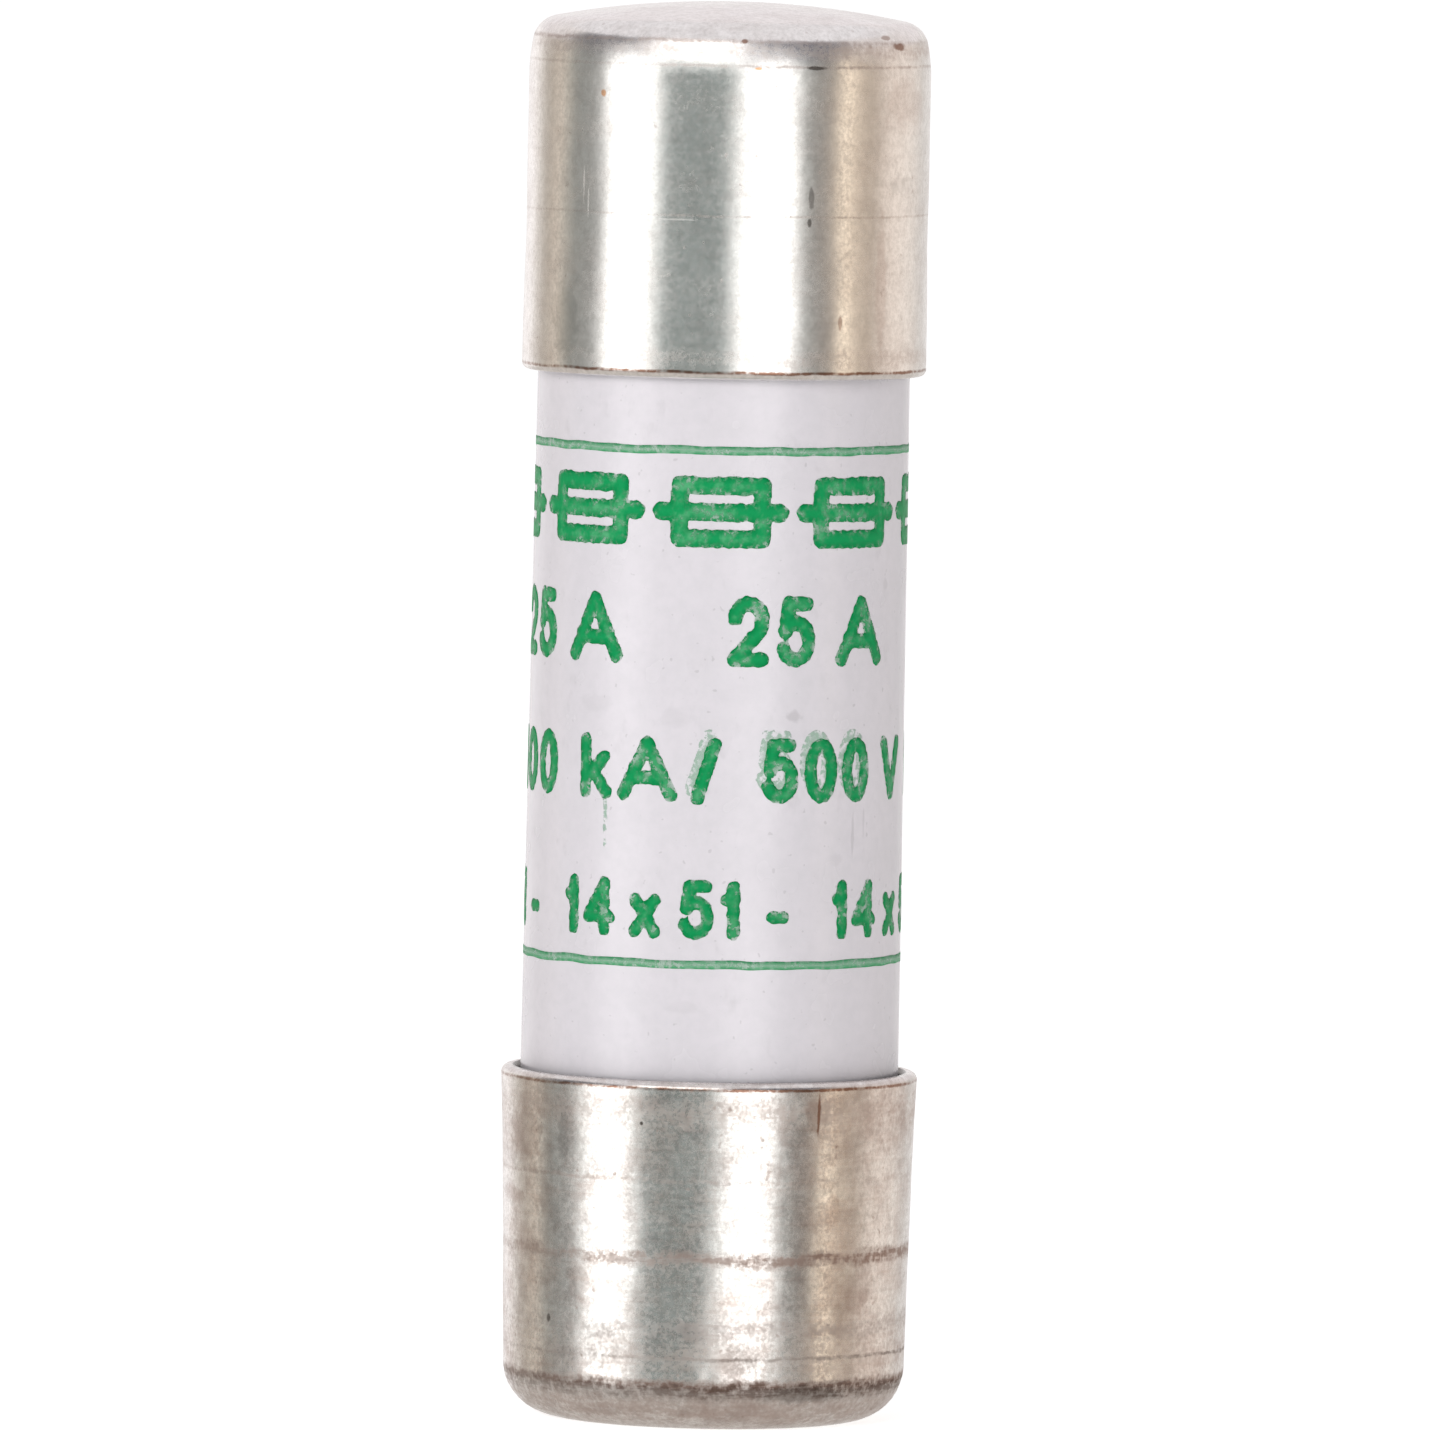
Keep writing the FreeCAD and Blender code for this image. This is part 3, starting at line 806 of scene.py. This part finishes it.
INNER_FINISHES = {
    "bare_brass": ((0.70, 0.50, 0.22, 1), (0.52, 0.36, 0.16, 1), 1.2, 1.0, 0.28, 0.01),
    "fibre_board": ((0.42, 0.28, 0.16, 1), (0.30, 0.19, 0.11, 1), 0.5, 0.0, 0.8, 0.03),
    "tin_solder": ((0.72, 0.72, 0.71, 1), (0.50, 0.50, 0.50, 1), 1.5, 1.0, 0.3, 0.03),
    "quartz_grains": ((0.78, 0.70, 0.56, 1), (0.60, 0.50, 0.36, 1), 0.35, 0.0, 0.7, 0.08),
    "silvered_strip": ((0.86, 0.84, 0.80, 1), (0.66, 0.62, 0.56, 1), 0.8, 1.0, 0.22, 0.004),
}
INNER_NODES = {
    "bare_brass": ["inner_cap_top", "inner_cap_bottom", "filler_plug"],
    "fibre_board": ["sealing_washer_top", "sealing_washer_bottom"],
    "tin_solder": ["solder_joint_top", "solder_joint_bottom"],
    "quartz_grains": ["quartz_sand"],
    "silvered_strip": ["fuse_element_1", "fuse_element_2", "fuse_element_3"],
}


def finish_inner_nodes():
    for finish, nodes in INNER_NODES.items():
        material = plain_finish(finish, *INNER_FINISHES[finish])
        for node in nodes:
            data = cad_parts[node].data
            data.materials.clear()
            data.materials.append(material)


# ---------------------------------------------------------------- camera, studio, floor

CAMERA_DISTANCE = 0.7
CAMERA_HEIGHT = 0.065
CAMERA_SIDE = -0.00006          # left of the fuse's axis
CAMERA_PITCH = 3.274
CAMERA_ROLL = 1.21
LENS = 497.0


def aim_camera():
    data = bpy.data.cameras.new("camera")
    data.lens = LENS
    data.sensor_width = 36.0
    data.clip_start = 0.01
    data.clip_end = 100.0
    camera = bpy.data.objects.new("camera", data)
    bpy.context.scene.collection.objects.link(camera)
    level = Matrix.Rotation(math.radians(90 - CAMERA_PITCH), 4, "X")
    roll = Matrix.Rotation(math.radians(CAMERA_ROLL), 4, "Z")
    camera.matrix_world = Matrix.Translation((CAMERA_SIDE, -CAMERA_DISTANCE, CAMERA_HEIGHT)) @ level @ roll
    bpy.context.scene.camera = camera


# What the plating mirrors round the fuse: azimuth from the camera's side, and the colour there
SOFTBOX = (1.0, 1.0, 1.0)
DARK_ROOM = (0.112, 0.127, 0.125)
STUDIO = [
    (-180, (0.40, 0.39, 0.39)),
    (-150, (0.47, 0.45, 0.45)),
    (-139, (0.355, 0.335, 0.32)),
    (-130, (0.225, 0.205, 0.185)),
    (-122, (0.215, 0.19, 0.165)),
    (-114, (0.31, 0.27, 0.235)),
    (-107, (0.24, 0.225, 0.20)),
    (-101, (0.125, 0.128, 0.122)),
    (-80, (0.142, 0.142, 0.138)),
    (-65, SOFTBOX),
    (-52, SOFTBOX),
    (-36, DARK_ROOM),
    (0, DARK_ROOM),
    (17, SOFTBOX),
    (31, SOFTBOX),
    (45, (0.14, 0.143, 0.138)),
    (63, (0.135, 0.12, 0.11)),
    (72, (0.60, 0.51, 0.41)),
    (79, (0.27, 0.225, 0.185)),
    (92, (0.215, 0.18, 0.15)),
    (101, (0.34, 0.295, 0.265)),
    (113, (0.385, 0.34, 0.31)),
    (128, (0.385, 0.35, 0.325)),
    (146, (0.30, 0.285, 0.275)),
    (180, (0.40, 0.39, 0.39)),
]
# The same, above the tops of the lamps
ABOVE_LAMPS = [
    (-180, (0.37, 0.35, 0.36)),
    (-118, (0.36, 0.34, 0.34)),
    (-105, (0.10, 0.095, 0.10)),
    (-83, (0.08, 0.08, 0.09)),
    (-66, (0.14, 0.14, 0.15)),
    (-49, (0.26, 0.25, 0.27)),
    (-40, SOFTBOX),
    (1, SOFTBOX),
    (10, (0.26, 0.26, 0.28)),
    (26, (0.13, 0.13, 0.145)),
    (43, (0.08, 0.08, 0.095)),
    (69, (0.10, 0.095, 0.105)),
    (82, (0.33, 0.305, 0.30)),
    (180, (0.37, 0.35, 0.36)),
]
LAMP_TOPS = (0.16, 0.22)        # upward part of a direction, where the lamps give way to what is above
CEILING_STARTS = (0.54, 0.60)
TABLE_STARTS = (-0.18, -0.36)
CEILING = (0.365, 0.355, 0.37, 1)
TABLE = (0.26, 0.242, 0.23, 1)
STUDIO_STRENGTH = 2.5
FILL_COLOUR = (1.0, 0.99, 1.0, 1)
FILL_STRENGTH = 0.33
KEY_PLACE = (-20, 20)           # azimuth and elevation
KEY_DISTANCE = 1.0
KEY_POWER = 3.9
KEY_SIZE = 0.5


def round_about(tree, share, stops):
    """A colour by azimuth, with share from 0 to 1 once round."""
    ramp = put(tree, "ValToRGB", {0: share})
    elements = ramp.color_ramp.elements
    elements.remove(elements[-1])
    for index, (azimuth, colour) in enumerate(stops):
        place = (azimuth + 180) / 360
        element = elements[0] if index == 0 else elements.new(place)
        element.position = place
        element.color = (*colour, 1)
    return ramp.outputs["Color"]


def light_studio():
    world = bpy.data.worlds.new("studio")
    bpy.context.scene.world = world
    world.use_nodes = True
    tree = world.node_tree
    tree.nodes.clear()
    parts = put(tree, "SeparateXYZ", {0: put(tree, "TexCoord").outputs["Generated"]})
    backward = maths(tree, "MULTIPLY", parts.outputs["Y"], -1.0)
    turn = maths(tree, "DEGREES", maths(tree, "ARCTAN2", parts.outputs["X"], backward))
    share = put(tree, "MapRange", {"Value": turn, "From Min": -180.0, "From Max": 180.0}).outputs["Result"]
    upward = parts.outputs["Z"]
    colour = mixed(tree, ramp_between(tree, upward, *LAMP_TOPS),
                   round_about(tree, share, STUDIO), round_about(tree, share, ABOVE_LAMPS))
    colour = mixed(tree, ramp_between(tree, upward, *CEILING_STARTS), colour, CEILING)
    colour = mixed(tree, ramp_between(tree, upward, *TABLE_STARTS), colour, TABLE)
    studio = put(tree, "Background", {"Color": colour, "Strength": STUDIO_STRENGTH})
    fill = put(tree, "Background", {"Color": FILL_COLOUR, "Strength": FILL_STRENGTH})
    seen = put(tree, "Background", {"Color": (1, 1, 1, 1), "Strength": 1.0})
    rays = put(tree, "LightPath")
    lit = put(tree, "MixShader", {0: rays.outputs["Is Glossy Ray"], 1: fill.outputs[0], 2: studio.outputs[0]})
    both = put(tree, "MixShader", {0: rays.outputs["Is Camera Ray"], 1: lit.outputs[0], 2: seen.outputs[0]})
    put(tree, "OutputWorld", {"Surface": both.outputs[0]})
    bpy.context.scene.view_settings.view_transform = "Standard"


def hang_key_light():
    """A large soft light from the front left, which the plating doesn't mirror."""
    data = bpy.data.lights.new("key_light", "AREA")
    data.shape = "DISK"
    data.size = KEY_SIZE
    data.energy = KEY_POWER
    key = bpy.data.objects.new("key_light", data)
    bpy.context.scene.collection.objects.link(key)
    azimuth, elevation = (math.radians(angle) for angle in KEY_PLACE)
    towards = Vector((math.sin(azimuth) * math.cos(elevation), -math.cos(azimuth) * math.cos(elevation),
                      math.sin(elevation)))
    key.location = towards * KEY_DISTANCE + (CAD_BOX[0] + CAD_BOX[1]) / 2
    key.rotation_euler = towards.to_track_quat("Z", "Y").to_euler()
    key.visible_glossy = False


FLOOR_SIZE = 60.0
FLOOR_COLOUR = (0.9, 0.9, 0.9, 1)
FLOOR_ROUGHNESS = 0.9
FLOOR_GLOW = 0.70


def lay_floor():
    mesh = bmesh.new()
    bmesh.ops.create_grid(mesh, x_segments=1, y_segments=1, size=FLOOR_SIZE / 2)
    data = bpy.data.meshes.new("floor")
    mesh.to_mesh(data)
    mesh.free()
    material, _, shader = new_material("pale_floor")
    shader.inputs["Base Color"].default_value = FLOOR_COLOUR
    shader.inputs["Roughness"].default_value = FLOOR_ROUGHNESS
    shader.inputs["Emission Color"].default_value = (1, 1, 1, 1)
    shader.inputs["Emission Strength"].default_value = FLOOR_GLOW
    data.materials.append(material)
    floor = bpy.data.objects.new("floor", data)
    bpy.context.scene.collection.objects.link(floor)
    floor.visible_glossy = False


# ---------------------------------------------------------------- the whole fuse

def main():
    aim_camera()
    light_studio()
    hang_key_light()
    lay_floor()
    upper_low, upper_high = box_mm("outer_cap_top")
    _, lower_high = box_mm("outer_cap_bottom")
    upper_plating = silver_plating(
        "silver_plating_upper", (upper_high.x, upper_low.z, upper_low.z + LIP_ROUND), *UPPER_WEAR,
        UPPER_STAINS, UPPER_MARKS, UPPER_SCUFFS)
    lower_plating = silver_plating(
        "silver_plating_lower", (lower_high.x, lower_high.z, lower_high.z - LIP_ROUND), *LOWER_WEAR,
        LOWER_STAINS, LOWER_MARKS, LOWER_SCUFFS)
    upper_cap(upper_plating)
    lower_cap(lower_plating)
    ceramic_body(fired_ceramic())
    full_ink = green_ink("green_ink", *FULL_INK)
    line_ink = green_ink("green_line_ink", *LINE_INK)
    faint_ink = green_ink("faint_green_ink", *FAINT_INK)
    for name, row in PRINT_ROWS.items():
        print_row(name, *row, full_ink, faint_ink)
    for name, level in RING_LINES.items():
        ring_line(name, level, line_ink)
    ink_run(faint_ink)
    finish_inner_nodes()


main()
